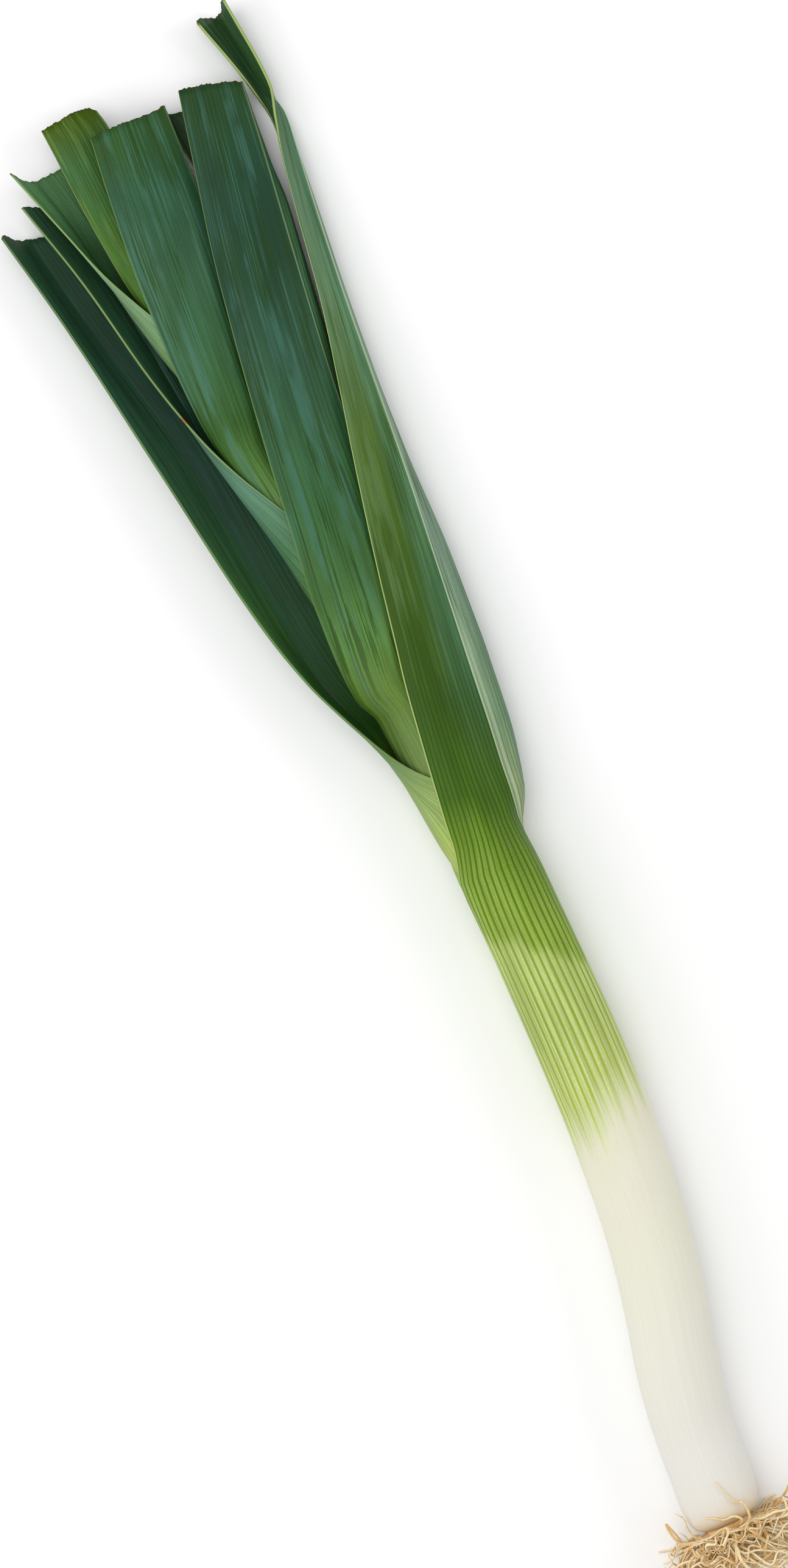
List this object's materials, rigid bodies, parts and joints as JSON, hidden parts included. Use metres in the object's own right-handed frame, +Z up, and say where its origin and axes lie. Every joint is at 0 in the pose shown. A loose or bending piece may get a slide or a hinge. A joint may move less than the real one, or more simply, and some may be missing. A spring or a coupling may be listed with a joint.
{
  "type": "leek",
  "caption": "Whole leek lying on its side: curved white shank, folded green leaves fanned out and cut across at the top, curly root bunch.",
  "frame": {"origin": "middle of the underside of the whole leek, on the surface it lies on", "axes": "+X along the leek from the roots to the leaf tips, +Z up, away from the surface"},
  "size_m": [0.6014, 0.112, 0.0406],
  "materials": {
    "shank": "satin, cream white going over pale green to dark green",
    "leaf": "satin with a bluish waxy bloom and fine ribs",
    "roots": "matt, dry, straw coloured"
  },
  "bodies": {
    "root": {"shank_leaf_1": "shank", "leaf_2": "leaf", "leaf_3": "leaf", "leaf_4": "leaf", "leaf_5": "leaf", "leaf_6": "leaf", "leaf_7": "leaf", "roots": "roots"}
  },
  "joints": []
}
